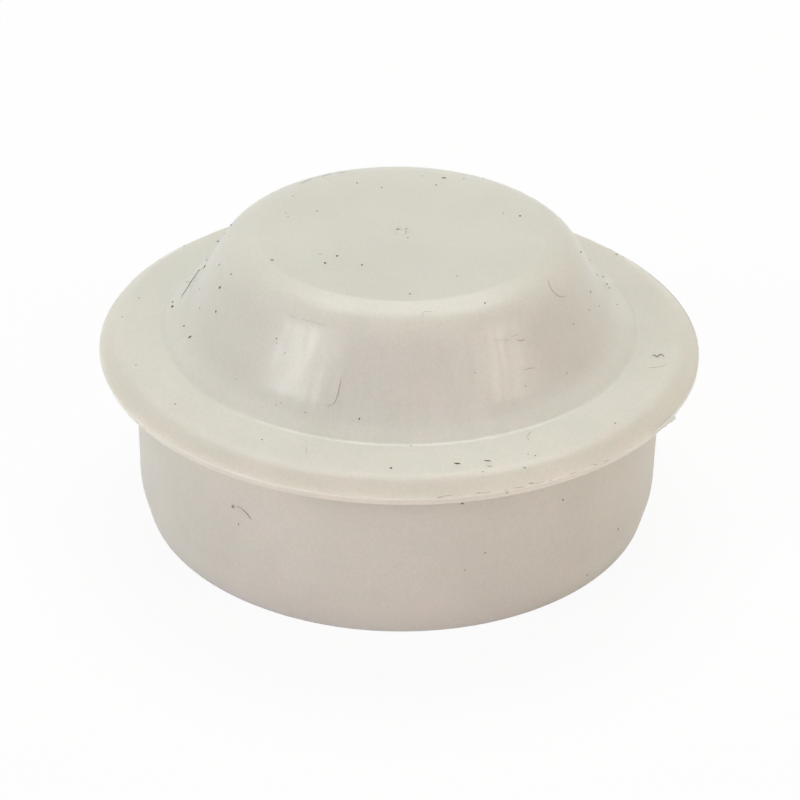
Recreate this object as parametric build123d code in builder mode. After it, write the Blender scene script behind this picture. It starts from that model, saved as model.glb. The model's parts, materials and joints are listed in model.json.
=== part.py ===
"""Push-in blanking plug, moulded in one piece from natural polyethylene.

A thin-walled round cap: a flat top with a gate mark, a flared flank, a flange that seats on the
mouth of the pipe, and a hollow spigot that seals in the bore. Millimetres, +Z up. The origin is
on the axis, in the plane of the flange's underside, which is the face that meets the pipe's end.
"""

import os
from math import cos, radians, sin, tan

from build123d import *

# Spigot, which is pressed into the bore of the pipe
bore_diameter = 30.0
spigot_length = 9.75
spigot_wall = 1.1
socket_draft = 1.0
lead_in_length = 1.8
lead_in_depth = 0.45

# Flange, which stops the plug at the mouth of the pipe
flange_overhang = 2.0
flange_thickness = 1.0
rim_draft = 60.0
rim_top_radius = 0.6
parting_line_height = 0.42
rim_under_chamfer = 0.15

# Shoulder inside, between the wall of the spigot and the foot of the dome
shoulder_width = 1.55
shoulder_thickness = 0.9
shoulder_chamfer = 0.9

# Dome, which stiffens the closed end and gives the fingers a hold
dome_height = 6.05
dome_wall = 1.0
flank_angle = 61.0
flank_foot_radius = 1.2
top_edge_radius = 2.45

# Gate mark in the middle of the top: a shallow dish round the broken-off stub of the gate
gate_dish_diameter = 1.4
gate_dish_depth = 0.06
gate_stub_diameter = 0.6
gate_stub_height = 0.1
gate_stub_draft = 15.0

# Levels, measured from the flange's underside
flange_top = flange_thickness
dome_top = flange_top + dome_height
cavity_top = dome_top - dome_wall
socket_end = flange_top - shoulder_thickness
land_bottom = lead_in_length - spigot_length
gate_dish_floor = dome_top - gate_dish_depth

# Radii of the spigot's and the flange's corners, before they are rounded
spigot_radius = bore_diameter / 2
lip_radius = spigot_radius - lead_in_depth
socket_mouth_radius = spigot_radius - spigot_wall
socket_end_radius = socket_mouth_radius - (spigot_length + socket_end) * tan(radians(socket_draft))
flange_radius = spigot_radius + flange_overhang
rim_top_corner = flange_radius - (flange_top - parting_line_height) * tan(radians(rim_draft))

# The cavity's wall rises from the shoulder, and the flank is parallel to it, one dome wall outside
flank_slope = tan(radians(flank_angle))
flank_wall_across = dome_wall / sin(radians(flank_angle))
cavity_foot = socket_end_radius - shoulder_width
cavity_top_corner = cavity_foot - (cavity_top - socket_end) / flank_slope
flank_foot = cavity_foot + flank_wall_across - shoulder_thickness / flank_slope
dome_top_corner = flank_foot - dome_height / flank_slope
chamfer_across = shoulder_chamfer * cos(radians(flank_angle))
chamfer_up = shoulder_chamfer * sin(radians(flank_angle))

# Corners of the wall section as (radius, height, rounding), from the top round to the inside
wall_corners = [
    (dome_top_corner, dome_top, top_edge_radius),
    (flank_foot, flange_top, flank_foot_radius),
    (rim_top_corner, flange_top, rim_top_radius),
    (flange_radius, parting_line_height, 0),
    (flange_radius - rim_under_chamfer, 0, 0),
    (spigot_radius, 0, 0),
    (spigot_radius, land_bottom, 0),
    (lip_radius, -spigot_length, 0),
    (socket_mouth_radius, -spigot_length, 0),
    (socket_end_radius, socket_end, 0),
    (cavity_foot + shoulder_chamfer, socket_end, 0),
    (cavity_foot - chamfer_across, socket_end + chamfer_up, 0),
    (cavity_top_corner, cavity_top, top_edge_radius - dome_wall),
]

with BuildPart() as blanking_plug:
    # The whole wall is one half section turned about the axis
    with BuildSketch(Plane.XZ):
        with BuildLine():
            wall_outline = FilletPolyline(
                (0, dome_top),
                *[(across, up) for across, up, rounding in wall_corners],
                (0, cavity_top),
                radius=[rounding for across, up, rounding in wall_corners],
            )
            Line(wall_outline @ 1, wall_outline @ 0)
        make_face()
    revolve(axis=Axis.Z)

    # The dish is a shallow arc turned about the axis, and the stub stands on its floor
    with BuildSketch(Plane.XZ):
        with BuildLine():
            dish_floor = ThreePointArc(
                (-gate_dish_diameter / 2, dome_top),
                (0, gate_dish_floor),
                (gate_dish_diameter / 2, dome_top),
            )
            Line(dish_floor @ 1, dish_floor @ 0)
        make_face()
        split(bisect_by=Plane.YZ)
    revolve(axis=Axis.Z, mode=Mode.SUBTRACT)
    with BuildSketch(Plane.XY.offset(gate_dish_floor)):
        Circle(gate_stub_diameter / 2)
    extrude(amount=gate_stub_height, taper=gate_stub_draft)

blanking_plug.part.label = "blanking_plug"

os.makedirs("parts", exist_ok=True)
export_step(blanking_plug.part, "parts/blanking_plug.step")
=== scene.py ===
"""Looks of a push-in blanking plug, moulded in one piece from natural, milky polyethylene.

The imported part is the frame: the plug stands on the lip of its spigot, with the origin in the plane of the
flange's underside and +Z up along the axis. The script turns the wall section into a fine mesh, adds the
film of flash along the rim, the grit and the fibres that cling to the plastic, and a plain white studio.
"""

import json
import math
import random

import bmesh
import bpy
from bpy.props import FloatProperty, FloatVectorProperty, IntProperty, PointerProperty
from bpy.types import Operator, Panel, PropertyGroup
from mathutils import Matrix, Vector
from mathutils.bvhtree import BVHTree


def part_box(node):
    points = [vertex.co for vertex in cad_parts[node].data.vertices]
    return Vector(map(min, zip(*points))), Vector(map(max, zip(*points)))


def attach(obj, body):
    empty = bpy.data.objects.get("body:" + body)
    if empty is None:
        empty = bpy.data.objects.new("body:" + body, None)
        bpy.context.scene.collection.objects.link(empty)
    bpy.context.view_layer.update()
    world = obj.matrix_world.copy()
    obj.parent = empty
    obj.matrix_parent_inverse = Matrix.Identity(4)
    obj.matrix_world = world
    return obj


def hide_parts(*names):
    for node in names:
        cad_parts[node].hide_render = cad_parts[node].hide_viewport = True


bl_info = {
    "name": "Blanking plug",
    "version": (1, 0, 0),
    "blender": (4, 5, 0),
    "location": "View3D > Sidebar > Plug",
    "description": "Builds a moulded polyethylene blanking plug and its studio around the packed part",
    "category": "Object",
}

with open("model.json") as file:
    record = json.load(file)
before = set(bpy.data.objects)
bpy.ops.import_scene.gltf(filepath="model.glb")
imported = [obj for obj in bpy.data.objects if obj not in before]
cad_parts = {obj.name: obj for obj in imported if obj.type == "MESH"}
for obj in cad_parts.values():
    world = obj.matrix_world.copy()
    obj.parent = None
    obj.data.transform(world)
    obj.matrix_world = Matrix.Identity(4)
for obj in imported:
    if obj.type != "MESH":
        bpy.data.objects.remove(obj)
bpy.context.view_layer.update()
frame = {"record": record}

NODE = "blanking_plug"
BODY = "root"
MM = 0.001

PLUG_LOW, PLUG_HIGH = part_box(NODE)
MOUNTS = {mount["name"]: mount for mount in frame["record"]["mounts"]}
PLASTIC_COLOUR = frame["record"]["materials"][0]["base_color"]

# The photograph is square, and pixels are counted from its upper left corner
PHOTO_SIDE = 800

# Grit and painted shade as (photo x, photo y, length in mm, length over width, tone from black 0 to pale 1)
GRIT_ON_TOP = (
    (357, 183, 0.12, 1.2, 0.30),
    (422, 176, 0.09, 1.1, 0.60),
    (444, 178, 0.26, 2.4, 0.00),
    (503, 213, 0.10, 1.2, 0.50),
    (520, 216, 0.14, 1.1, 0.10),
    (293, 196, 0.09, 1.3, 0.60),
    (296, 198, 0.07, 1.1, 0.70),
    (286, 213, 0.10, 1.6, 0.60),
    (288, 217, 0.08, 1.2, 0.65),
    (317, 211, 0.11, 1.2, 0.55),
    (272, 260, 0.19, 1.1, 0.85),
    (320, 254, 0.09, 1.1, 0.50),
    (337, 256, 0.15, 1.2, 0.10),
    (325, 263, 0.14, 1.1, 0.05),
    (362, 265, 0.13, 1.1, 0.15),
    (410, 294, 0.12, 1.2, 0.30),
    (457, 276, 0.12, 1.8, 0.55),
    (485, 303, 0.11, 1.1, 0.30),
)
GRIT_AND_SHADE_AT_GATE = (
    (397.6, 229.3, 0.13, 1.5, 0.10),
    (399.6, 228.6, 0.09, 1.8, 0.45),
    (401.8, 229.9, 0.08, 1.6, 0.55),
    (404.8, 229.9, 0.07, 1.3, 0.55),
    (406.5, 228.8, 0.10, 1.4, 0.40),
    (406.6, 231.4, 0.06, 1.2, 0.65),
    # Painted shade: a grey grain on the soft shade in front of the gate's raised stub
    (407.8, 237.6, 0.12, 1.2, 0.78),
)
GRIT_ON_LEFT = (
    (206.5, 260, 0.12, 1.6, 0.40),
    (204.8, 266.8, 0.20, 1.4, 0.00),
    (199, 270.2, 0.14, 1.3, 0.15),
    (172.6, 302, 0.13, 1.1, 0.05),
    (172.4, 306.6, 0.18, 1.1, 0.00),
    (218, 241.3, 0.15, 1.2, 0.25),
    (231.2, 225, 0.15, 1.2, 0.15),
    (225, 233.5, 0.11, 1.2, 0.50),
    (219.2, 264.7, 0.11, 1.2, 0.35),
    (230.9, 274.2, 0.12, 1.1, 0.62),
    (219.9, 287.5, 0.15, 1.1, 0.00),
    (215.9, 311.6, 0.13, 1.2, 0.10),
    (199.6, 289.4, 0.09, 1.1, 0.75),
    (199.6, 308.4, 0.15, 1.6, 0.80),
    (184, 326, 0.13, 1.2, 0.20),
    (190, 337, 0.24, 2.1, 0.05),
    (276.6, 338.6, 0.10, 1.3, 0.35),
    (276.6, 343, 0.06, 1.2, 0.55),
    (284.8, 353, 0.07, 1.2, 0.45),
    (235.4, 379, 0.10, 1.6, 0.78),
    (276, 404.5, 0.09, 1.5, 0.60),
    (280.8, 403, 0.07, 1.2, 0.65),
    (305, 412.5, 0.13, 2.4, 0.72),
    (139, 298, 0.14, 2, 0.72),
    (122, 317, 0.10, 1.2, 0.65),
    (136, 365, 0.12, 1.5, 0.70),
)
GRIT_ON_RIGHT = (
    (581, 252, 0.16, 1.3, 0.25),
    (590, 260, 0.08, 1.2, 0.60),
    (597, 275, 0.11, 1.1, 0.40),
    (603, 277, 0.13, 1.2, 0.32),
    (607, 284, 0.16, 1.6, 0.38),
    (609, 288, 0.15, 1.4, 0.38),
    (590.6, 291.8, 0.18, 1.5, 0.60),
    (617.2, 304.5, 0.13, 1.8, 0.60),
    (589, 310, 0.12, 1.5, 0.72),
    (599, 306, 0.11, 1.3, 0.72),
    (573.5, 324, 0.13, 1.8, 0.78),
    (475.2, 372.6, 0.09, 1.3, 0.75),
    (566.8, 373.3, 0.10, 1.2, 0.70),
    (525.5, 386, 0.09, 1.4, 0.62),
)
GRIT_ON_FLANGE = (
    (359.4, 418.8, 0.11, 1.4, 0.00),
    (391, 468, 0.14, 1.2, 0.10),
    (457.3, 463.5, 0.30, 2.9, 0.00),
    (487.6, 460.7, 0.36, 4, 0.45),
    (489.4, 466.2, 0.24, 4, 0.72),
    (483, 471.6, 0.10, 1.4, 0.75),
    (524.8, 467.8, 0.16, 1.9, 0.60),
    (535.2, 455.6, 0.10, 1.3, 0.55),
    (528, 454, 0.09, 1.4, 0.72),
    (615.3, 423.2, 0.10, 1.2, 0.30),
    (507.2, 492.6, 0.11, 1.3, 0.20),
    (462.3, 503.5, 0.14, 1.4, 0.25),
    (664, 425.4, 0.12, 1.5, 0.40),
    (175, 404, 0.12, 1.3, 0.62),
    (262, 439.7, 0.10, 1.2, 0.65),
    (411, 446, 0.08, 1.1, 0.70),
)
GRIT_ON_SPIGOT = (
    (563, 500, 0.14, 1.4, 0.55),
    (618, 529, 0.15, 1.5, 0.50),
    (485, 553, 0.11, 1.3, 0.50),
    (465, 570, 0.09, 1.2, 0.55),
    (587, 575, 0.12, 1.3, 0.55),
    (238.5, 524.2, 0.12, 1.2, 0.62),
    (232.8, 506.6, 0.20, 1.1, 0.72),
)
PLACED_GRIT_AND_SHADE = GRIT_ON_TOP + GRIT_AND_SHADE_AT_GATE + GRIT_ON_LEFT + GRIT_ON_RIGHT + GRIT_ON_FLANGE + GRIT_ON_SPIGOT

# Fibres as (half thickness in mm, tone, photo points along the line)
FIBRES = (
    (0.018, 0.22, ((199, 270), (195, 276), (191, 282), (187.5, 288), (184, 293), (181, 298))),
    (0.009, 0.47, ((186, 281.5), (188.5, 282), (190.8, 282))),
    (0.008, 0.52, ((208, 256.5), (206.6, 260), (207.6, 261.6))),
    (0.010, 0.32, ((341, 377), (339.5, 387), (337, 397), (334, 403), (330, 405.5), (326, 406))),
    (0.012, 0.57, ((236.4, 505.8), (239, 507), (241.6, 508.6), (244, 510.6))),
    (0.016, 0.20, ((242.4, 509.2), (244.4, 511), (247, 513.6), (249, 516.2), (251.2, 519.4))),
    (0.010, 0.40, ((548, 279), (550, 287), (553.6, 292), (557.6, 295.4), (562, 297), (567.4, 295.4))),
    (0.007, 0.57, ((421.8, 318.6), (422.8, 313.4), (424.4, 311.5), (428, 311.4), (432.5, 312))),
    (0.020, 0.10, ((652, 356.2), (654.4, 355), (657, 357.2), (659.4, 354.8), (662, 354.8), (664.2, 357.2))),
    (0.008, 0.78, ((648, 367.6), (657, 367.2), (664, 365.6), (667.5, 363.6))),
    (0.010, 0.54, ((531.2, 431.4), (528.4, 434.4), (527.8, 437), (528.8, 441.2))),
    (0.010, 0.57, ((306.4, 446.6), (306.2, 450.4), (306.2, 454))),
    (0.011, 0.42, ((300.5, 184), (306.3, 181), (312.3, 179))),
    (0.010, 0.47, ((322, 176.8), (327, 174.9), (332, 173.8))),
    (0.008, 0.57, ((337, 172.9), (342, 172.7), (347, 171.8))),
)

# Scuffs along the rim and across the flank, given like the fibres
SCUFFS = (
    (0.022, 0.82, ((437, 497.6), (440, 497.2), (443.5, 496.8))),
    (0.011, 0.86, ((444, 496), (448, 495.6), (452, 495.3))),
    (0.021, 0.86, ((476.5, 493.2), (479, 493), (481, 492.8))),
    (0.011, 0.90, ((482, 492.8), (487, 492.7), (491, 492.5))),
    (0.012, 0.70, ((504.4, 490.6), (506, 490.4), (507.4, 490.6))),
    (0.013, 0.76, ((512.6, 488.2), (519, 487.6), (525.6, 486.6))),
    (0.024, 0.82, ((528.6, 483.8), (531, 483.2), (534, 483.5))),
    (0.011, 0.80, ((535, 483.9), (540, 482.5), (545, 481.2))),
    (0.015, 0.80, ((549, 480.6), (551.4, 480.2))),
    (0.012, 0.82, ((569, 474.6), (573, 473.2), (577, 472))),
    (0.017, 0.78, ((592.8, 464.9), (595, 464.4), (597.4, 464.6))),
    (0.015, 0.68, ((603.6, 462.2), (606.4, 461), (608.8, 459.8))),
    (0.015, 0.72, ((516.4, 340.2), (521, 340.4), (525, 339.5))),
    (0.007, 0.86, ((492, 340), (501, 340.1), (511, 339.8))),
    (0.011, 0.82, ((511.2, 337.2), (514.4, 335.6), (518, 334.4))),
    (0.012, 0.88, ((523, 370.2), (529, 368.6), (535, 367.5))),
    (0.006, 0.85, ((299.4, 318.4), (306, 320.2), (314, 322), (321, 324.2), (327.6, 325.8))),
    (0.005, 0.90, ((289.6, 316.2), (294, 316.8), (298.6, 318.4))),
)

# Flash on the rim as (degrees round the axis, how far it stands out in mm), straight from point to point
FLASH_COURSE = (
    (-37, 0.00),
    (-35, 0.10),
    (-32, 0.19),
    (-30.2, 0.28),
    (-29.2, 0.26),
    (-28.9, 0.06),
    (-18, 0.07),
    (-8, 0.04),
    (8, 0.05),
    (24, 0.03),
    (60, 0.02),
    (118, 0.05),
    (124, 0.02),
    (160, 0.00),
)


def length_setting(name, description, default):
    """A length, with its default in metres."""
    return FloatProperty(name=name, description=description, default=default, unit="LENGTH")


def angle_setting(name, description, degrees):
    """An angle, with its default in degrees."""
    return FloatProperty(name=name, description=description, default=math.radians(degrees), unit="ROTATION")


def colour_setting(name, description, default):
    """A surface colour."""
    return FloatVectorProperty(
        name=name, description=description, default=default, subtype="COLOR", min=0, max=1)


def level_setting(name, description, default):
    """Brightness of a lamp in red, green and blue."""
    return FloatVectorProperty(name=name, description=description, default=default)


class PlugSizes(PropertyGroup):
    """Sizes of the moulded wall."""

    flange_radius: length_setting("Flange radius", "Outer radius of the flange", PLUG_HIGH.x)
    spigot_radius: length_setting(
        "Spigot radius", "Outer radius of the spigot, which fits the bore",
        MOUNTS["spigot"]["dims"]["r_mm"] * MM)
    spigot_length: length_setting("Spigot length", "From the flange's underside to the lip", -PLUG_LOW.z)
    stub_top: length_setting(
        "Gate stub top", "Height of the broken gate over the flange's underside", PLUG_HIGH.z - 0.03 * MM)
    spigot_wall: length_setting("Spigot wall", "Wall of the spigot at its mouth", 1.1 * MM)
    socket_draft: angle_setting("Socket draft", "Draft of the spigot's inside", 1.0)
    lead_in_length: length_setting("Lead-in length", "Length of the drawn-in lower end", 1.8 * MM)
    lead_in_depth: length_setting("Lead-in depth", "How far the lower end is drawn in", 0.45 * MM)
    flange_thickness: length_setting("Flange thickness", "Thickness of the flange", 1.0 * MM)
    crown_rise: length_setting("Crown rise", "How far the flange is crowned at its rim", 0.15 * MM)
    foot_rise: length_setting("Foot rise", "How far the flange is crowned at the dome's foot", 0.46 * MM)
    foot_radius: length_setting("Foot radius", "Radius of the crease round the dome's foot", 13.4 * MM)
    foot_slope: angle_setting("Foot slope", "Slope of the strip between the flank and the crease", 33)
    rim_draft: angle_setting("Rim draft", "Slope of the rim over the parting line", 60)
    rim_crown: length_setting("Rim crown", "Radius between the flange's top and its rim", 1.5 * MM)
    parting_height: length_setting(
        "Parting line height", "Height of the parting line on the rim", 0.42 * MM)
    rim_under_chamfer: length_setting(
        "Rim under chamfer", "How far the rim draws in under the parting line", 0.15 * MM)
    shoulder_width: length_setting(
        "Shoulder width", "Ledge inside, between the spigot and the dome", 1.55 * MM)
    shoulder_thickness: length_setting("Shoulder thickness", "Wall over the ledge inside", 0.9 * MM)
    dome_height: length_setting("Dome height", "From the flange's top to the flat top", 6.05 * MM)
    dome_wall: length_setting("Dome wall", "Wall of the dome", 1.0 * MM)
    flank_angle: angle_setting("Flank angle", "Slope of the dome's flank", 61)
    flank_foot_radius: length_setting(
        "Flank foot radius", "Hollow rounding between the flank and the foot strip", 2.6 * MM)
    top_edge_radius: length_setting("Top edge radius", "Rounding between the top and the flank", 2.45 * MM)
    top_bevel: angle_setting(
        "Top bevel", "Slope of the bevel between the top's crease and its rounded edge", 13)
    crease_radius: length_setting("Crease radius", "Rounding of the crease round the top", 0.6 * MM)
    dish_radius: length_setting("Gate dish radius", "Radius of the dish round the gate", 0.7 * MM)
    dish_depth: length_setting("Gate dish depth", "Depth of the dish round the gate", 0.06 * MM)
    stub_radius: length_setting("Gate stub radius", "Radius of the broken gate at its root", 0.3 * MM)
    edge_radius: length_setting("Edge radius", "Rounding of the crisp edges", 0.06 * MM)
    corner_radius: length_setting(
        "Corner radius", "Rounding of the lip and of the corners under the flange", 0.2 * MM)
    segments: IntProperty(name="Segments", description="Steps once round the axis", default=240)


class PlugFinish(PropertyGroup):
    """Colours and finish of the plastic and of the dirt on it."""

    plastic: colour_setting("Plastic", "Milky plastic", PLASTIC_COLOUR)
    black_grit: colour_setting("Black grit", "Darkest grit", (0.016, 0.014, 0.012))
    pale_grit: colour_setting("Pale grit", "Palest dust", (0.46, 0.40, 0.33))
    depth: length_setting("Milkiness depth", "How far light spreads in the plastic", 1.2 * MM)
    gloss_roughness: FloatProperty(
        name="Gloss roughness", description="Roughness of the smooth top and flank",
        default=0.305, min=0, max=1)
    loose_grit: FloatProperty(
        name="Loose grit", description="Grains per square metre on the side away from the camera",
        default=40000)
    seed: IntProperty(
        name="Seed", description="Seed of the scattered grit and of the flash's ragged edge", default=7)


class PlugStage(PropertyGroup):
    """Camera, lights and floor."""

    camera_distance: length_setting("Camera distance", "From the origin to the lens", 136 * MM)
    camera_elevation: angle_setting(
        "Camera elevation", "Height of the camera over the seat plane, as an angle", 29.53)
    camera_tilt: angle_setting("Camera tilt", "How far the camera looks down", 30.916)
    camera_yaw: angle_setting("Camera yaw", "How far the camera looks to the right", 0.0565)
    camera_roll: angle_setting("Camera roll", "How far the camera leans to the left", 1.0)
    lens: FloatProperty(name="Lens", description="Focal length in millimetres", default=107.1)
    sensor: FloatProperty(name="Sensor", description="Sensor width in millimetres", default=36.0)
    panel_light: level_setting(
        "Panel", "Brightness of the panel over and behind the plug", (4.16, 4.28, 4.18))
    left_light: level_setting("Left light", "Brightness of the lamp at front left", (4.40, 4.52, 4.32))
    left_fill: level_setting(
        "Left fill", "Brightness of the broad lamp over the left one", (0.23, 0.36, 0.42))
    right_fill: level_setting(
        "Right fill", "Brightness of the broad lamp over the right one", (0.60, 0.47, 0.53))
    low_light: level_setting(
        "Low light", "Brightness of the low, wide lamp left of the camera", (1.41, 1.00, 1.47))
    right_light: level_setting("Right light", "Brightness of the lamp at front right", (3.01, 2.98, 2.30))
    room_light: FloatProperty(name="Room", description="Brightness of the white room", default=0.2)


# Node helpers


def add(tree, kind, inputs=None, **options):
    """Adds a node, sets its options, and links or fills its inputs, given by name or by number."""
    made = tree.nodes.new(kind)
    for option, value in options.items():
        setattr(made, option, value)
    for key, value in (inputs or {}).items():
        if isinstance(value, bpy.types.NodeSocket):
            tree.links.new(value, made.inputs[key])
        else:
            made.inputs[key].default_value = value
    return made


def calc(tree, operation, *values):
    """Output of a Math node."""
    return add(tree, "ShaderNodeMath", dict(enumerate(values)), operation=operation).outputs[0]


def vector_calc(tree, operation, *values):
    """Vector output of a Vector Math node."""
    return add(tree, "ShaderNodeVectorMath", dict(enumerate(values)), operation=operation).outputs["Vector"]


def scaled(tree, vector, factor):
    """A vector made longer or shorter."""
    return add(
        tree, "ShaderNodeVectorMath", {0: vector, "Scale": factor}, operation="SCALE").outputs["Vector"]


def combine(tree, **parts):
    """A vector from its X, Y and Z."""
    return add(tree, "ShaderNodeCombineXYZ", parts).outputs[0]


def separate(tree, vector):
    """X, Y and Z of a vector."""
    return add(tree, "ShaderNodeSeparateXYZ", {"Vector": vector}).outputs


def from_axis(tree, place):
    """Distance from the axis of a place given by its X, Y and Z."""
    x_square = calc(tree, "MULTIPLY", place["X"], place["X"])
    y_square = calc(tree, "MULTIPLY", place["Y"], place["Y"])
    return calc(tree, "SQRT", calc(tree, "ADD", x_square, y_square))


def weigh(tree, start, *shares):
    """A start value plus each field times its weight."""
    total = start
    for field, weight in shares:
        total = calc(tree, "ADD", calc(tree, "MULTIPLY", field, weight), total)
    return total


def is_more(tree, first, second):
    """Where one field is more than another."""
    return add(tree, "FunctionNodeCompare", {"A": first, "B": second}, operation="GREATER_THAN").outputs[0]


def whole(tree, operation, *values):
    """Output of an Integer Math node."""
    return add(tree, "FunctionNodeIntegerMath", dict(enumerate(values)), operation=operation).outputs[0]


def attribute(tree, name, kind="FLOAT"):
    """A named attribute as a field."""
    return add(tree, "GeometryNodeInputNamedAttribute", {"Name": name}, data_type=kind).outputs["Attribute"]


def remap(tree, value, low, high, to_low=0.0, to_high=1.0):
    """Output of a smooth Map Range node."""
    return add(
        tree, "ShaderNodeMapRange",
        {"Value": value, "From Min": low, "From Max": high, "To Min": to_low, "To Max": to_high},
        interpolation_type="SMOOTHSTEP",
    ).outputs["Result"]


def noise(tree, vector, scale, detail=2.0, roughness=0.5):
    """Value of a Noise texture."""
    return add(
        tree, "ShaderNodeTexNoise",
        {"Vector": vector, "Scale": scale, "Detail": detail, "Roughness": roughness},
    ).outputs[0]


def blend_colour(tree, share, first, second, how="MIX"):
    """Colour output of a Mix node."""
    mix = add(tree, "ShaderNodeMix", data_type="RGBA", blend_type=how)
    sockets = {"Factor_Float": share, "A_Color": first, "B_Color": second}
    for socket in mix.inputs:
        if socket.identifier in sockets:
            value = sockets[socket.identifier]
            if isinstance(value, bpy.types.NodeSocket):
                tree.links.new(value, socket)
            else:
                socket.default_value = value
    return next(socket for socket in mix.outputs if socket.identifier == "Result_Color")


def opaque(colour):
    """A colour with its alpha."""
    return (*colour, 1.0)


def new_tree(name, kind, sockets):
    """A node group with (name, direction, type, default) sockets, and the sockets at its two ends."""
    tree = bpy.data.node_groups.new(name, kind)
    for title, direction, socket_type, default in sockets:
        socket = tree.interface.new_socket(title, in_out=direction, socket_type=socket_type)
        if default is not None:
            socket.default_value = default
    return tree, add(tree, "NodeGroupInput").outputs, add(tree, "NodeGroupOutput").inputs


def apply_nodes(piece, tree, values):
    """Runs a geometry tree on a piece and returns the result as a plain mesh object of the same name."""
    modifier = piece.modifiers.new(tree.name, "NODES")
    modifier.node_group = tree
    for socket in tree.interface.items_tree:
        if socket.item_type == "SOCKET" and socket.in_out == "INPUT" and socket.name in values:
            modifier[socket.identifier] = values[socket.name]
    evaluated = piece.evaluated_get(bpy.context.evaluated_depsgraph_get())
    mesh = bpy.data.meshes.new_from_object(evaluated)
    piece.modifiers.remove(modifier)
    name = piece.name
    bpy.data.objects.remove(piece)
    if not mesh.polygons:
        raise RuntimeError(f"{name} came out of {tree.name} without faces")
    for slot in reversed(range(len(mesh.materials))):
        if mesh.materials[slot] is None:
            mesh.materials.pop(index=slot)
    mesh.name = name
    return link(name, mesh)


def close_tree(tree, geometry, coat, end):
    """Ends a geometry tree with plain faces in one material."""
    real = add(tree, "GeometryNodeRealizeInstances", {"Geometry": geometry}).outputs["Geometry"]
    coated = add(tree, "GeometryNodeSetMaterial", {"Geometry": real, "Material": coat}).outputs["Geometry"]
    tree.links.new(coated, end)
    return tree


def link(name, data):
    """Puts a new object into the scene."""
    made = bpy.data.objects.new(name, data)
    bpy.context.scene.collection.objects.link(made)
    return made


def line_mesh(name, lines, **values):
    """Polylines as an object, with one value for each point under each attribute's name."""
    points = [point for line in lines for point in line]
    edges = []
    start = 0
    for line in lines:
        edges += [(start + step, start + step + 1) for step in range(len(line) - 1)]
        start += len(line)
    mesh = bpy.data.meshes.new(name)
    mesh.from_pydata(points, edges, [])
    for title, column in values.items():
        is_vector = isinstance(column[0], Vector)
        layer = mesh.attributes.new(title, "FLOAT_VECTOR" if is_vector else "FLOAT", "POINT")
        for cell, value in zip(layer.data, column):
            if is_vector:
                cell.vector = value
            else:
                cell.value = value
    return link(name, mesh)


# Wall section and its lathe


def wall_section(sizes):
    """Corners of the half section as (radius, height, rounding), down the outside and up the inside."""
    flange_top = sizes.flange_thickness
    dome_top = flange_top + sizes.dome_height
    dish_floor = dome_top - sizes.dish_depth
    cavity_top = dome_top - sizes.dome_wall
    socket_end = flange_top - sizes.shoulder_thickness
    slope = math.tan(sizes.flank_angle)
    rim_top = sizes.flange_radius - (flange_top - sizes.parting_height) * math.tan(sizes.rim_draft)
    lip_radius = sizes.spigot_radius - sizes.lead_in_depth
    socket_mouth = sizes.spigot_radius - sizes.spigot_wall
    socket_radius = socket_mouth - (sizes.spigot_length + socket_end) * math.tan(sizes.socket_draft)
    cavity_foot = socket_radius - sizes.shoulder_width
    cavity_corner = cavity_foot - (cavity_top - socket_end) / slope
    wall_across = sizes.dome_wall / math.sin(sizes.flank_angle)
    flank_foot = cavity_foot + wall_across - sizes.shoulder_thickness / slope
    dome_corner = flank_foot - sizes.dome_height / slope
    # A shallower strip leads from the flank to the crease at the foot
    strip = math.tan(sizes.foot_slope)
    strip_top = (flank_foot * slope - sizes.foot_radius * strip - sizes.foot_rise) / (slope - strip)
    # The rounded edge of the top starts at a slight crease, from which a bevel runs into it
    crease = dome_corner - sizes.top_edge_radius * math.tan(sizes.flank_angle / 2)
    bevel = math.tan(sizes.top_bevel)
    bevel_foot = (dome_corner * slope - crease * bevel) / (slope - bevel)
    bevel_level = dome_top - (bevel_foot - crease) * bevel
    stub_tip_radius = 0.75 * sizes.stub_radius
    lead_in_blend = 4.0 * MM
    foot_crease = 0.7 * MM
    shoulder_rounding = 1.5 * MM
    edge = sizes.edge_radius
    corner = sizes.corner_radius
    return (
        (0, sizes.stub_top, 0),
        (stub_tip_radius, sizes.stub_top, edge),
        (sizes.stub_radius, dish_floor, edge),
        (sizes.dish_radius, dome_top, corner),
        (crease, dome_top, sizes.crease_radius),
        (bevel_foot, bevel_level, sizes.top_edge_radius),
        (strip_top, flange_top + (flank_foot - strip_top) * slope, sizes.flank_foot_radius),
        (sizes.foot_radius, flange_top + sizes.foot_rise, foot_crease),
        (rim_top, flange_top + sizes.crown_rise, sizes.rim_crown),
        (sizes.flange_radius, sizes.parting_height, edge),
        (sizes.flange_radius - sizes.rim_under_chamfer, 0, edge),
        (sizes.spigot_radius, 0, corner),
        (sizes.spigot_radius, sizes.lead_in_length - sizes.spigot_length, lead_in_blend),
        (lip_radius, -sizes.spigot_length, corner),
        (socket_mouth, -sizes.spigot_length, corner),
        (socket_radius, socket_end, corner),
        (cavity_foot, socket_end, shoulder_rounding),
        (cavity_corner, cavity_top, sizes.top_edge_radius - sizes.dome_wall),
        (0, cavity_top, 0),
    )


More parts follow.
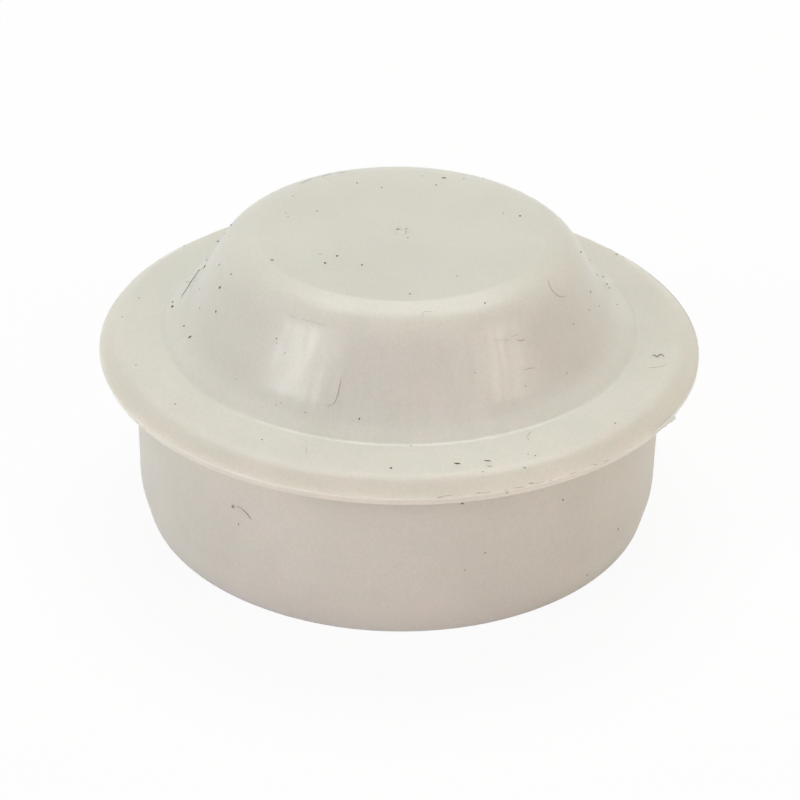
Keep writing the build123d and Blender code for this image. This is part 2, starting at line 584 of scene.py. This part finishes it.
def lathe_tree():
    """Rounds a section's corners, cuts its long runs and turns it about Z, with a little unevenness."""
    tree, given, result = new_tree("turned_wall", "GeometryNodeTree", (
        ("Section", "INPUT", "NodeSocketGeometry", None),
        ("Segments", "INPUT", "NodeSocketInt", 240),
        ("Longest run", "INPUT", "NodeSocketFloat", 0.5 * MM),
        ("Unevenness", "INPUT", "NodeSocketFloat", 0.02 * MM),
        ("Gate radius", "INPUT", "NodeSocketFloat", 0.4 * MM),
        ("Gate height", "INPUT", "NodeSocketFloat", 7.0 * MM),
        ("Gate raggedness", "INPUT", "NodeSocketFloat", 0.06 * MM),
        ("Material", "INPUT", "NodeSocketMaterial", None),
        ("Wall", "OUTPUT", "NodeSocketGeometry", None),
    ))
    line = add(tree, "GeometryNodeMeshToCurve", {"Mesh": given["Section"]}).outputs["Curve"]
    # A wider rounding gets more steps
    rounding = attribute(tree, "rounding")
    fewest_steps, fineness = 3, 36 / MM
    steps = calc(tree, "ADD", calc(tree, "SQRT", calc(tree, "MULTIPLY", rounding, fineness)), fewest_steps)
    rounded = add(
        tree, "GeometryNodeFilletCurve", {"Curve": line, "Count": steps, "Radius": rounding}, mode="POLY",
    ).outputs["Curve"]
    here = add(tree, "GeometryNodeInputPosition").outputs[0]
    index = add(tree, "GeometryNodeInputIndex").outputs[0]
    following = add(
        tree, "GeometryNodeFieldAtIndex", {"Value": here, "Index": whole(tree, "ADD", index, 1)},
        data_type="FLOAT_VECTOR", domain="POINT",
    ).outputs[0]
    run = add(tree, "ShaderNodeVectorMath", {0: here, 1: following}, operation="DISTANCE").outputs["Value"]
    cuts = calc(tree, "FLOOR", calc(tree, "DIVIDE", run, given["Longest run"]))
    section = add(tree, "GeometryNodeSubdivideCurve", {"Curve": rounded, "Cuts": cuts}).outputs["Curve"]

    # A grid with one row for each point of the section and one column for each step round the axis
    rows = add(
        tree, "GeometryNodeAttributeDomainSize", {"Geometry": section}, component="CURVE",
    ).outputs["Point Count"]
    columns = whole(tree, "ADD", given["Segments"], 1)
    grid = add(tree, "GeometryNodeMeshGrid", {"Vertices X": rows, "Vertices Y": columns}).outputs["Mesh"]
    on_section = add(
        tree, "GeometryNodeSampleIndex",
        {"Geometry": section, "Value": here, "Index": whole(tree, "DIVIDE", index, columns)},
        data_type="FLOAT_VECTOR", domain="POINT",
    ).outputs[0]
    split = separate(tree, on_section)
    column = whole(tree, "MODULO", index, columns)
    turn = calc(tree, "DIVIDE", calc(tree, "MULTIPLY", column, math.tau), given["Segments"])
    turned = combine(
        tree,
        X=calc(tree, "MULTIPLY", split["X"], calc(tree, "COSINE", turn)),
        Y=calc(tree, "MULTIPLY", split["X"], calc(tree, "SINE", turn)),
        Z=split["Z"],
    )
    wall = add(tree, "GeometryNodeSetPosition", {"Geometry": grid, "Position": turned}).outputs["Geometry"]
    seam = 0.001 * MM
    wall = add(tree, "GeometryNodeMergeByDistance", {"Geometry": wall, "Distance": seam}).outputs["Geometry"]

    # The wall shrank unevenly as it cooled, and the gate broke off ragged
    swell_scale, tear_scale, tear_level = 0.11 / MM, 4.0 / MM, 0.6
    normal = add(tree, "GeometryNodeInputNormal").outputs["Normal"]
    swell = calc(tree, "SUBTRACT", noise(tree, here, swell_scale, 1.0), 0.5)
    warp = scaled(tree, normal, calc(tree, "MULTIPLY", swell, given["Unevenness"]))
    wall = add(tree, "GeometryNodeSetPosition", {"Geometry": wall, "Offset": warp}).outputs["Geometry"]
    place = separate(tree, here)
    at_gate = add(tree, "FunctionNodeBooleanMath", {
        0: is_more(tree, given["Gate radius"], from_axis(tree, place)),
        1: is_more(tree, place["Z"], given["Gate height"]),
    }, operation="AND").outputs[0]
    torn = calc(tree, "SUBTRACT", noise(tree, here, tear_scale, 2.0), tear_level)
    tear = combine(tree, Z=calc(tree, "MULTIPLY", torn, given["Gate raggedness"]))
    wall = add(
        tree, "GeometryNodeSetPosition", {"Geometry": wall, "Selection": at_gate, "Offset": tear},
    ).outputs["Geometry"]
    wall = add(tree, "GeometryNodeSetShadeSmooth", {"Geometry": wall}).outputs["Geometry"]
    return close_tree(tree, wall, given["Material"], result["Wall"])


# Finishes


def clouding_group():
    """Faint, slow changes of tone that a moulding has: a share from 0 to 1."""
    tree, given, result = new_tree("clouding", "ShaderNodeTree", (
        ("Position", "INPUT", "NodeSocketVector", None),
        ("Cloud size", "INPUT", "NodeSocketFloat", 6 * MM),
        ("Cloud", "OUTPUT", "NodeSocketFloat", None),
    ))
    scale = calc(tree, "DIVIDE", 1.0, given["Cloud size"])
    tree.links.new(noise(tree, given["Position"], scale, 3.0, 0.55), result["Cloud"])
    return tree


def grain_group():
    """Height of the fine skin that the mould leaves on the plastic."""
    tree, given, result = new_tree("mould_grain", "ShaderNodeTree", (
        ("Position", "INPUT", "NodeSocketVector", None),
        ("Grain size", "INPUT", "NodeSocketFloat", 0.25 * MM),
        ("Ripple size", "INPUT", "NodeSocketFloat", 2.2 * MM),
        ("Height", "OUTPUT", "NodeSocketFloat", None),
    ))
    grain = noise(tree, given["Position"], calc(tree, "DIVIDE", 1.0, given["Grain size"]), 3.0, 0.6)
    ripple = noise(tree, given["Position"], calc(tree, "DIVIDE", 1.0, given["Ripple size"]), 1.0)
    tree.links.new(weigh(tree, 0.0, (grain, 0.12), (ripple, 0.88)), result["Height"])
    return tree


def streak_group():
    """Draw marks that run up and down a turned wall: a share from 0 to 1."""
    tree, given, result = new_tree("draw_marks", "ShaderNodeTree", (
        ("Position", "INPUT", "NodeSocketVector", None),
        ("Marks round", "INPUT", "NodeSocketFloat", 26.0),
        ("Mark height", "INPUT", "NodeSocketFloat", 3.0 * MM),
        ("Streak", "OUTPUT", "NodeSocketFloat", None),
    ))
    place = separate(tree, given["Position"])
    flat = combine(tree, X=place["X"], Y=place["Y"])
    around = scaled(tree, vector_calc(tree, "NORMALIZE", flat), given["Marks round"])
    up = combine(tree, Z=calc(tree, "DIVIDE", place["Z"], given["Mark height"]))
    tree.links.new(noise(tree, vector_calc(tree, "ADD", around, up), 1.0, 3.0, 0.65), result["Streak"])
    return tree


def material(name):
    """An empty node material, its tree and its Principled shader."""
    made = bpy.data.materials.new(name)
    made.use_nodes = True
    return made, made.node_tree, made.node_tree.nodes["Principled BSDF"]


def group(tree, name, inputs):
    """Outputs of one of the shared groups."""
    return add(tree, "ShaderNodeGroup", inputs, node_tree=bpy.data.node_groups[name]).outputs


def plastic_material(finish, sizes):
    """Milky polyethylene: smooth on top, with draw marks on the flank and a duller spigot."""
    made, tree, shader = material("milky_plastic")
    place = add(tree, "ShaderNodeTexCoord").outputs["Object"]
    split = separate(tree, place)
    up = split["Z"]
    cloud = group(tree, "clouding", {"Position": place})["Cloud"]
    mottle = group(tree, "clouding", {"Position": place, "Cloud size": 1.1 * MM})["Cloud"]
    speck = group(tree, "clouding", {"Position": place, "Cloud size": 0.16 * MM})["Cloud"]
    streak = group(tree, "draw_marks", {"Position": place})["Streak"]

    # The flank carries the draw marks, up to the bevel round the top and down to the foot's rounding
    flange_top = sizes.flange_thickness
    dome_top = flange_top + sizes.dome_height
    across = from_axis(tree, split)
    foot_inner, foot_outer = sizes.foot_radius, sizes.foot_radius + 0.4 * MM
    on_flange = remap(tree, across, foot_inner, foot_outer)
    on_flank = calc(
        tree, "MULTIPLY",
        remap(tree, across, foot_outer, foot_inner),
        remap(tree, up, dome_top - 0.2 * MM, dome_top - 1.6 * MM),
    )
    marks = calc(tree, "MULTIPLY", calc(tree, "SUBTRACT", streak, 0.5), on_flank)
    on_spigot = remap(tree, up, 0.0, -0.4 * MM)
    on_rim = calc(
        tree, "MULTIPLY",
        remap(tree, across, sizes.flange_radius - 1.2 * MM, sizes.flange_radius - 0.8 * MM),
        remap(tree, up, 0.0, 0.1 * MM),
    )

    # The tone drifts slowly, and the hue from spot to spot, from rosy to green
    dark, light = (opaque([share * part for part in finish.plastic]) for share in (0.975, 1.02))
    tone = blend_colour(tree, remap(tree, cloud, 0.3, 0.7), dark, light)
    tint = blend_colour(tree, remap(tree, mottle, 0.3, 0.7), (1.0, 0.984, 0.982, 1), (0.975, 0.99, 0.972, 1))
    tone = blend_colour(tree, 1.0, tone, tint, "MULTIPLY")
    tone = blend_colour(tree, remap(tree, speck, 0.25, 0.75), tone, (0.945, 0.94, 0.935, 1), "MULTIPLY")
    # Painted shade: the rim is coloured a little darker, so that it looks less lit by the lamps in front
    tone = blend_colour(tree, on_rim, tone, (0.985, 0.98, 0.975, 1), "MULTIPLY")
    tree.links.new(tone, shader.inputs["Base Color"])

    on_land = calc(tree, "MULTIPLY", on_flange, calc(tree, "SUBTRACT", 1.0, on_rim))
    uneven = calc(tree, "SUBTRACT", mottle, 0.5)
    rough = weigh(tree, finish.gloss_roughness, (on_land, 0.12), (marks, 0.05), (uneven, 0.04))
    tree.links.new(rough, shader.inputs["Roughness"])
    top_gloss = 0.28
    gloss = weigh(tree, top_gloss, (on_flank, 0.28), (on_rim, 0.15), (marks, 1.15), (on_spigot, -0.12))
    tree.links.new(gloss, shader.inputs["Specular IOR Level"])

    height = group(tree, "mould_grain", {"Position": place})["Height"]
    height = calc(tree, "ADD", height, calc(tree, "MULTIPLY", marks, 0.08))
    bump = add(tree, "ShaderNodeBump", {"Height": height, "Strength": 0.35, "Distance": 0.03 * MM})
    tree.links.new(bump.outputs["Normal"], shader.inputs["Normal"])

    shader.inputs["IOR"].default_value = 1.51
    shader.inputs["Subsurface Weight"].default_value = 1.0
    shader.inputs["Subsurface Radius"].default_value = (1.0, 0.9, 0.75)
    shader.inputs["Subsurface Scale"].default_value = finish.depth
    return made


def flash_material(finish):
    """The same plastic as a thin film, coloured a little darker as painted shade, and cloudy on a smaller
    scale.
    """
    made, tree, shader = material("flash_film")
    place = add(tree, "ShaderNodeTexCoord").outputs["Object"]
    cloud = group(tree, "clouding", {"Position": place, "Cloud size": 0.8 * MM})["Cloud"]
    # Painted shade: both ends of the film's cloudy tone are darker than the plastic, for the shade the flash
    # lies in
    dark, light = (opaque([min(1.0, share * part) for part in finish.plastic]) for share in (0.86, 0.97))
    tree.links.new(blend_colour(tree, cloud, dark, light), shader.inputs["Base Color"])
    tree.links.new(remap(tree, cloud, 0.3, 0.7, 0.32, 0.45), shader.inputs["Roughness"])
    height = group(tree, "mould_grain", {"Position": place})["Height"]
    bump = add(tree, "ShaderNodeBump", {"Height": height, "Strength": 0.3, "Distance": 0.03 * MM})
    tree.links.new(bump.outputs["Normal"], shader.inputs["Normal"])
    shader.inputs["IOR"].default_value = 1.51
    return made


def dirt_material(finish, name, rough_low, rough_high):
    """Grit or fibre: each piece has its own tone, and is a little mottled."""
    made, tree, shader = material(name)
    place = add(tree, "ShaderNodeTexCoord").outputs["Object"]
    tone = add(tree, "ShaderNodeAttribute", attribute_name="tone").outputs["Fac"]
    cloud = group(tree, "clouding", {"Position": place, "Cloud size": 0.06 * MM})["Cloud"]
    share = calc(tree, "ADD", tone, calc(tree, "MULTIPLY", calc(tree, "SUBTRACT", cloud, 0.5), 0.15))
    colour = blend_colour(tree, share, opaque(finish.black_grit), opaque(finish.pale_grit))
    tree.links.new(colour, shader.inputs["Base Color"])
    tree.links.new(remap(tree, cloud, 0.2, 0.8, rough_low, rough_high), shader.inputs["Roughness"])
    return made


# Places in the photograph


def camera_matrix(stage):
    """Where the camera stands and how it is turned, in the part's frame."""
    level = stage.camera_distance * math.cos(stage.camera_elevation)
    place = Vector((0, -level, stage.camera_distance * math.sin(stage.camera_elevation)))
    yaw, tilt, roll = stage.camera_yaw, stage.camera_tilt, stage.camera_roll
    ahead = Vector((math.sin(yaw) * math.cos(tilt), math.cos(yaw) * math.cos(tilt), -math.sin(tilt)))
    right = Vector((math.cos(yaw), -math.sin(yaw), 0))
    above = right.cross(ahead)
    leaning_right = math.cos(roll) * right + math.sin(roll) * above
    leaning_above = math.cos(roll) * above - math.sin(roll) * right
    turn = Matrix((leaning_right, leaning_above, -ahead)).transposed()
    return Matrix.Translation(place) @ turn.to_4x4()


class PhotoPlacer:
    """Finds the point on the plug that a photo pixel shows."""

    def __init__(self, plug, stage):
        self.matrix = camera_matrix(stage)
        self.focal = stage.lens / stage.sensor * PHOTO_SIDE
        corners = [vertex.co for vertex in plug.data.vertices]
        self.surface = BVHTree.FromPolygons(corners, [face.vertices for face in plug.data.polygons])

    def find(self, x, y):
        """The point and its outward normal, or an error where the pixel misses the plug."""
        ray = Vector(((x - PHOTO_SIDE / 2) / self.focal, (PHOTO_SIDE / 2 - y) / self.focal, -1))
        eye = self.matrix.translation
        point, normal, _, _ = self.surface.ray_cast(eye, self.matrix.to_3x3() @ ray)
        if point is None:
            raise RuntimeError(f"photo pixel {x}, {y} is not on the plug")
        return point, normal if normal.dot(eye - point) > 0 else -normal


def spline(a, b, c, d, t):
    """The curve from b to c at a share t of the way, with a before them and d after them."""
    bend = (2 * a - 5 * b + 4 * c - d) * t ** 2
    twist = (3 * b - a - 3 * c + d) * t ** 3
    return 0.5 * (2 * b + (c - a) * t + bend + twist)


def smooth_line(points, steps=6):
    """Points on the curve that passes through all the given points, a few to each span."""
    ends = [points[0], *points, points[-1]]
    line = []
    for before, start, stop, after in zip(ends, ends[1:], ends[2:], ends[3:]):
        for step in range(steps):
            line.append(tuple(
                spline(*four, step / steps) for four in zip(before, start, stop, after)))
    return [*line, points[-1]]


def own(piece, *, stands_for=None):
    """Hands a finished piece to the frame."""
    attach(piece, BODY)
    if stands_for:
        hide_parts(stands_for)
    return piece


# Pieces


def make_body(sizes, finish):
    """The whole moulded wall."""
    section = wall_section(sizes)
    line = line_mesh(
        "plug_wall",
        [[(across, 0, up) for across, up, _ in section]],
        rounding=[rounding for _, _, rounding in section],
    )
    wall = apply_nodes(line, lathe_tree(), {
        "Segments": sizes.segments,
        "Gate height": sizes.flange_thickness + sizes.dome_height - 0.5 * sizes.dish_depth,
        "Material": plastic_material(finish, sizes),
    })
    tidy = bmesh.new()
    tidy.from_mesh(wall.data)
    bmesh.ops.recalc_face_normals(tidy, faces=tidy.faces)
    tidy.to_mesh(wall.data)
    tidy.free()
    return own(wall, stands_for=NODE)


def flash_reach(angle, ragged):
    """How far the flash stands out at an angle in degrees, with a ragged edge."""
    for (start, low), (stop, high) in zip(FLASH_COURSE, FLASH_COURSE[1:]):
        if start <= angle <= stop:
            reach = low + (high - low) * (angle - start) / (stop - start)
            return reach * MM * ragged
    return 0.0


def make_flash(sizes, finish):
    """The film of plastic that crept into the parting line, as a thin wedge along the rim."""
    draw = random.Random(finish.seed)
    first, last = FLASH_COURSE[0][0], FLASH_COURSE[-1][0]
    step = 0.4
    count = round((last - first) / step)
    root = sizes.flange_radius - 0.25 * MM
    upper, lower = sizes.parting_height + 0.03 * MM, sizes.parting_height - 0.07 * MM
    film = 0.035 * MM
    shape = bmesh.new()
    rings = []
    for number in range(count + 1):
        angle = first + number * step
        tip = sizes.flange_radius - 0.02 * MM + flash_reach(angle, draw.uniform(0.82, 1.12))
        level = sizes.parting_height + draw.uniform(-0.012, 0.012) * MM
        around = math.radians(angle)
        rings.append([
            shape.verts.new((radius * math.cos(around), radius * math.sin(around), height))
            for radius, height in ((root, upper), (tip, level + film), (tip, level - film), (root, lower))
        ])
    for ring, following in zip(rings, rings[1:]):
        for corner in range(4):
            nearby = (corner + 1) % 4
            shape.faces.new((ring[corner], ring[nearby], following[nearby], following[corner]))
    shape.faces.new(rings[0])
    shape.faces.new(reversed(rings[-1]))
    bmesh.ops.recalc_face_normals(shape, faces=shape.faces)
    mesh = bpy.data.meshes.new("parting_flash")
    shape.to_mesh(mesh)
    shape.free()
    mesh.materials.append(flash_material(finish))
    return own(link("parting_flash", mesh))


def grit_tree():
    """Grains at the placed points, and more strewn over the side away from the camera."""
    tree, given, result = new_tree("clinging_grit", "GeometryNodeTree", (
        ("Placed", "INPUT", "NodeSocketGeometry", None),
        ("Plug", "INPUT", "NodeSocketObject", None),
        ("Grains per area", "INPUT", "NodeSocketFloat", 40000.0),
        ("Strewn beyond", "INPUT", "NodeSocketFloat", 4 * MM),
        ("Smallest", "INPUT", "NodeSocketFloat", 0.07 * MM),
        ("Largest", "INPUT", "NodeSocketFloat", 0.15 * MM),
        ("Seed", "INPUT", "NodeSocketInt", 7),
        ("Material", "INPUT", "NodeSocketMaterial", None),
        ("Grit", "OUTPUT", "NodeSocketGeometry", None),
    ))
    here = add(tree, "GeometryNodeInputPosition").outputs[0]
    far = is_more(tree, separate(tree, here)["Y"], given["Strewn beyond"])
    plug = add(tree, "GeometryNodeObjectInfo", {"Object": given["Plug"]}).outputs["Geometry"]
    strewn = add(tree, "GeometryNodeDistributePointsOnFaces", {
        "Mesh": plug, "Selection": far, "Density": given["Grains per area"], "Seed": given["Seed"]})
    points = strewn.outputs["Points"]

    def store(geometry, name, value, kind="FLOAT"):
        return add(
            tree, "GeometryNodeStoreNamedAttribute", {"Geometry": geometry, "Name": name, "Value": value},
            data_type=kind, domain="POINT").outputs["Geometry"]

    def chance(low, high, offset):
        seed = whole(tree, "ADD", given["Seed"], offset)
        drawn = add(tree, "FunctionNodeRandomValue", {2: low, 3: high, "Seed": seed}, data_type="FLOAT")
        return drawn.outputs[1]

    points = store(points, "facing", strewn.outputs["Normal"], "FLOAT_VECTOR")
    points = store(points, "grain", chance(given["Smallest"], given["Largest"], 1))
    points = store(points, "stretch", chance(1.0, 2.0, 2))
    points = store(points, "turn", chance(0.0, math.tau, 3))
    points = store(points, "tone", chance(0.05, 0.75, 4))
    placed = add(tree, "GeometryNodeMeshToPoints", {"Mesh": given["Placed"]}).outputs["Points"]
    every = add(tree, "GeometryNodeJoinGeometry").inputs["Geometry"]
    tree.links.new(points, every)
    tree.links.new(placed, every)

    ball = add(tree, "GeometryNodeMeshIcoSphere", {"Radius": 1.0, "Subdivisions": 2}).outputs["Mesh"]
    lumps = add(tree, "ShaderNodeTexNoise", {"Vector": here, "Scale": 1.3, "Detail": 1.0}).outputs["Color"]
    lumpiness = 1.1
    shift = scaled(tree, vector_calc(tree, "SUBTRACT", lumps, (0.5, 0.5, 0.5)), lumpiness)
    grain = add(tree, "GeometryNodeSetPosition", {"Geometry": ball, "Offset": shift}).outputs["Geometry"]

    facing = attribute(tree, "facing", "FLOAT_VECTOR")
    upright = add(tree, "FunctionNodeAlignRotationToVector", {"Vector": facing}, axis="Z").outputs[0]
    turn = combine(tree, Z=attribute(tree, "turn"))
    spin = add(tree, "FunctionNodeEulerToRotation", {"Euler": turn}).outputs[0]
    posed = add(
        tree, "FunctionNodeRotateRotation", {"Rotation": upright, "Rotate By": spin}, rotation_space="LOCAL",
    ).outputs[0]
    half_length = calc(tree, "MULTIPLY", attribute(tree, "grain"), 0.5)
    half_width = calc(tree, "DIVIDE", half_length, attribute(tree, "stretch"))
    flatness = 0.6
    size = combine(tree, X=half_length, Y=half_width, Z=calc(tree, "MULTIPLY", half_width, flatness))
    grit = add(tree, "GeometryNodeInstanceOnPoints", {
        "Points": every.node.outputs["Geometry"], "Instance": grain, "Rotation": posed, "Scale": size,
    }).outputs["Instances"]
    return close_tree(tree, grit, given["Material"], result["Grit"])


def make_grit_and_shade(plug, finish, stage):
    """Grains of dirt and one grain of painted shade, each half sunk into the skin that it clings to."""
    placer = PhotoPlacer(plug, stage)
    draw = random.Random(finish.seed)
    found = [placer.find(x, y) for x, y, _, _, _ in PLACED_GRIT_AND_SHADE]
    picture_right = placer.matrix.to_3x3() @ Vector((1, 0, 0))
    turns = []
    for (_, normal), (_, _, _, stretch, _) in zip(found, PLACED_GRIT_AND_SHADE):
        # A long grain lies across the picture, and a round one any way
        across = Vector((0, 0, 1)).rotation_difference(normal).inverted() @ picture_right
        turns.append(math.atan2(across.y, across.x) if stretch > 2 else draw.uniform(0, math.tau))
    seeds = line_mesh(
        "clinging_grit",
        [[point] for point, _ in found],
        facing=[normal for _, normal in found],
        grain=[length * MM for _, _, length, _, _ in PLACED_GRIT_AND_SHADE],
        stretch=[stretch for _, _, _, stretch, _ in PLACED_GRIT_AND_SHADE],
        turn=turns,
        tone=[tone for _, _, _, _, tone in PLACED_GRIT_AND_SHADE],
    )
    grit = apply_nodes(seeds, grit_tree(), {
        "Plug": plug,
        "Grains per area": finish.loose_grit,
        "Seed": finish.seed,
        "Material": dirt_material(finish, "dark_grit", 0.6, 0.9),
    })
    return own(grit)


def fibre_tree():
    """Round fibres along polylines, thinner towards their ends."""
    tree, given, result = new_tree("clinging_fibres", "GeometryNodeTree", (
        ("Lines", "INPUT", "NodeSocketGeometry", None),
        ("Sides", "INPUT", "NodeSocketInt", 7),
        ("Material", "INPUT", "NodeSocketMaterial", None),
        ("Fibres", "OUTPUT", "NodeSocketGeometry", None),
    ))
    lines = add(tree, "GeometryNodeMeshToCurve", {"Mesh": given["Lines"]}).outputs["Curve"]
    along = add(tree, "GeometryNodeSplineParameter").outputs["Factor"]
    from_middle = calc(tree, "ABSOLUTE", calc(tree, "SUBTRACT", calc(tree, "MULTIPLY", along, 2.0), 1.0))
    taper = calc(tree, "SUBTRACT", 1.0, calc(tree, "POWER", from_middle, 4.0))
    end_share = 0.3
    share = weigh(tree, end_share, (taper, 1 - end_share))
    thick = calc(tree, "MULTIPLY", attribute(tree, "half_thickness"), share)
    ring = add(
        tree, "GeometryNodeCurvePrimitiveCircle", {"Resolution": given["Sides"], "Radius": 1.0},
    ).outputs["Curve"]
    fibres = add(tree, "GeometryNodeCurveToMesh", {
        "Curve": lines, "Profile Curve": ring, "Scale": thick, "Fill Caps": True}).outputs["Mesh"]
    fibres = add(tree, "GeometryNodeSetShadeSmooth", {"Geometry": fibres}).outputs["Geometry"]
    return close_tree(tree, fibres, given["Material"], result["Fibres"])


def make_fibres(plug, finish, stage):
    """Hairs, lint and scuff lines that lie on the plastic."""
    placer = PhotoPlacer(plug, stage)
    lines, thickness, tones = [], [], []
    for half_thickness, tone, points in FIBRES + SCUFFS:
        found = [placer.find(x, y) for x, y in smooth_line(points)]
        lines.append([point + normal * 0.5 * half_thickness * MM for point, normal in found])
        thickness += [half_thickness * MM] * len(found)
        tones += [tone] * len(found)
    strands = line_mesh("clinging_fibres", lines, half_thickness=thickness, tone=tones)
    fibres = apply_nodes(strands, fibre_tree(), {"Material": dirt_material(finish, "grey_fibre", 0.5, 0.8)})
    return own(fibres)


# Studio


def area_lamp(name, place, aim, width, depth, brightness):
    """A rectangular lamp of a given brightness and colour, which is the same whatever its size."""
    lamp = bpy.data.lights.new(name, "AREA")
    lamp.shape = "RECTANGLE"
    lamp.size, lamp.size_y = width, depth
    strongest = max(brightness)
    lamp.energy = strongest * math.pi * width * depth
    lamp.color = [part / strongest for part in brightness]
    made = link(name, lamp)
    made.location = place
    made.rotation_euler = (Vector(aim) - Vector(place)).to_track_quat("-Z", "Y").to_euler()
    made.visible_camera = False
    return made


def seen_directly(tree):
    """1 for what the camera sees, also reflected or through glass, and 0 for light that falls on things."""
    path = add(tree, "ShaderNodeLightPath").outputs
    return calc(tree, "MAXIMUM", path["Is Camera Ray"], calc(
        tree, "MAXIMUM", path["Is Glossy Ray"], path["Is Transmission Ray"]))


def make_world(stage):
    """A white room."""
    world = bpy.data.worlds.new("white_room")
    bpy.context.scene.world = world
    world.use_nodes = True
    tree = world.node_tree
    tree.nodes.clear()
    light = add(tree, "ShaderNodeBackground", {"Color": (0.98, 1.0, 0.97, 1), "Strength": stage.room_light})
    white = add(tree, "ShaderNodeBackground", {"Color": (1, 1, 1, 1), "Strength": 1.0})
    mix = add(tree, "ShaderNodeMixShader", {0: seen_directly(tree), 1: light.outputs[0], 2: white.outputs[0]})
    tree.links.new(mix.outputs[0], add(tree, "ShaderNodeOutputWorld").inputs["Surface"])


def make_floor(sizes):
    """A white floor under the lip, which keeps a soft shadow and can be seen through from below."""
    half_side = 1.5
    level = -sizes.spigot_length
    corners = [(x * half_side, y * half_side, level) for x, y in ((-1, -1), (1, -1), (1, 1), (-1, 1))]
    mesh = bpy.data.meshes.new("floor")
    mesh.from_pydata(corners, [], [(0, 1, 2, 3)])
    floor = link("floor", mesh)
    made = bpy.data.materials.new("white_floor")
    made.use_nodes = True
    tree = made.node_tree
    tree.nodes.clear()
    matte = add(tree, "ShaderNodeBsdfDiffuse", {"Color": (0.90, 0.87, 0.86, 1)})
    white = add(tree, "ShaderNodeEmission", {"Color": (1, 1, 1, 1), "Strength": 1.0})
    clear = add(tree, "ShaderNodeBsdfTransparent")
    whitening = calc(tree, "MULTIPLY", seen_directly(tree), 0.92)
    whitened = add(tree, "ShaderNodeMixShader", {0: whitening, 1: matte.outputs[0], 2: white.outputs[0]})
    below = add(tree, "ShaderNodeNewGeometry").outputs["Backfacing"]
    surface = add(tree, "ShaderNodeMixShader", {0: below, 1: whitened.outputs[0], 2: clear.outputs[0]})
    tree.links.new(surface.outputs[0], add(tree, "ShaderNodeOutputMaterial").inputs["Surface"])
    mesh.materials.append(made)


def make_lamps(stage):
    """A big panel over and behind the plug, a lamp and a broad fill on each side, and a low one in front."""
    area_lamp("panel", (0.01, 0.145, 0.30), (0.01, 0.145, 0), 0.27, 0.22, stage.panel_light)
    lamp_distance = 0.5
    for name, around, height, width, depth, brightness in (
        ("left_lamp", -57, 19, 0.22, 0.25, stage.left_light),
        ("left_fill", -48, 42, 0.56, 0.30, stage.left_fill),
        ("low_lamp", -10, 7, 0.70, 0.14, stage.low_light),
        ("right_lamp", 60, 19, 0.21, 0.25, stage.right_light),
        ("right_fill", 44, 42, 0.50, 0.30, stage.right_fill),
    ):
        turn, rise = math.radians(around), math.radians(height)
        level = math.cos(rise)
        place = Vector((math.sin(turn) * level, -math.cos(turn) * level, math.sin(rise)))
        area_lamp(name, lamp_distance * place, (0, 0, 0), width, depth, brightness)


def make_camera(stage):
    """A camera that sees the plug as the photograph does."""
    camera = bpy.data.cameras.new("camera")
    camera.lens = stage.lens
    camera.sensor_fit = "HORIZONTAL"
    camera.sensor_width = stage.sensor
    camera.clip_start = 10 * MM
    holder = link("camera", camera)
    holder.matrix_world = camera_matrix(stage)
    bpy.context.scene.camera = holder


# Operators


class PLUG_OT_body(Operator):
    """Turn the moulded wall of the plug"""

    bl_idname = "plug.body"
    bl_label = "Plug wall"

    def execute(self, context):
        clouding_group()
        grain_group()
        streak_group()
        make_body(context.scene.plug_sizes, context.scene.plug_finish)
        return {"FINISHED"}


class PLUG_OT_flash(Operator):
    """Add the flash along the rim's parting line"""

    bl_idname = "plug.flash"
    bl_label = "Parting flash"

    def execute(self, context):
        make_flash(context.scene.plug_sizes, context.scene.plug_finish)
        return {"FINISHED"}


class PLUG_OT_grit(Operator):
    """Put grit, and a grain of painted shade, on the plug"""

    bl_idname = "plug.grit"
    bl_label = "Clinging grit and shade"

    def execute(self, context):
        make_grit_and_shade(bpy.data.objects["plug_wall"], context.scene.plug_finish, context.scene.plug_stage)
        return {"FINISHED"}


class PLUG_OT_fibres(Operator):
    """Lay fibres and scuff lines on the plug"""

    bl_idname = "plug.fibres"
    bl_label = "Clinging fibres"

    def execute(self, context):
        make_fibres(bpy.data.objects["plug_wall"], context.scene.plug_finish, context.scene.plug_stage)
        return {"FINISHED"}


class PLUG_OT_stage(Operator):
    """Set up the room, the floor, the lamps and the camera"""

    bl_idname = "plug.stage"
    bl_label = "Studio"

    def execute(self, context):
        context.scene.view_settings.view_transform = "Standard"
        make_world(context.scene.plug_stage)
        make_floor(context.scene.plug_sizes)
        make_lamps(context.scene.plug_stage)
        make_camera(context.scene.plug_stage)
        return {"FINISHED"}


STEPS = (PLUG_OT_body, PLUG_OT_flash, PLUG_OT_grit, PLUG_OT_fibres, PLUG_OT_stage)


class PLUG_PT_steps(Panel):
    """Lists the steps that build the plug"""

    bl_idname = "PLUG_PT_steps"
    bl_label = "Blanking plug"
    bl_space_type = "VIEW_3D"
    bl_region_type = "UI"
    bl_category = "Plug"

    def draw(self, context):
        for step in STEPS:
            self.layout.operator(step.bl_idname)


SETTINGS = {"plug_sizes": PlugSizes, "plug_finish": PlugFinish, "plug_stage": PlugStage}


def register():
    for settings in SETTINGS.values():
        bpy.utils.register_class(settings)
    for name, settings in SETTINGS.items():
        setattr(bpy.types.Scene, name, PointerProperty(type=settings))
    for shown in (*STEPS, PLUG_PT_steps):
        bpy.utils.register_class(shown)


def unregister():
    for shown in reversed((*STEPS, PLUG_PT_steps)):
        bpy.utils.unregister_class(shown)
    for name in SETTINGS:
        delattr(bpy.types.Scene, name)
    for settings in reversed(SETTINGS.values()):
        bpy.utils.unregister_class(settings)


def main():
    register()
    bpy.ops.plug.body()
    bpy.ops.plug.flash()
    bpy.ops.plug.grit()
    bpy.ops.plug.fibres()
    bpy.ops.plug.stage()


if __name__ == "__main__":
    main()
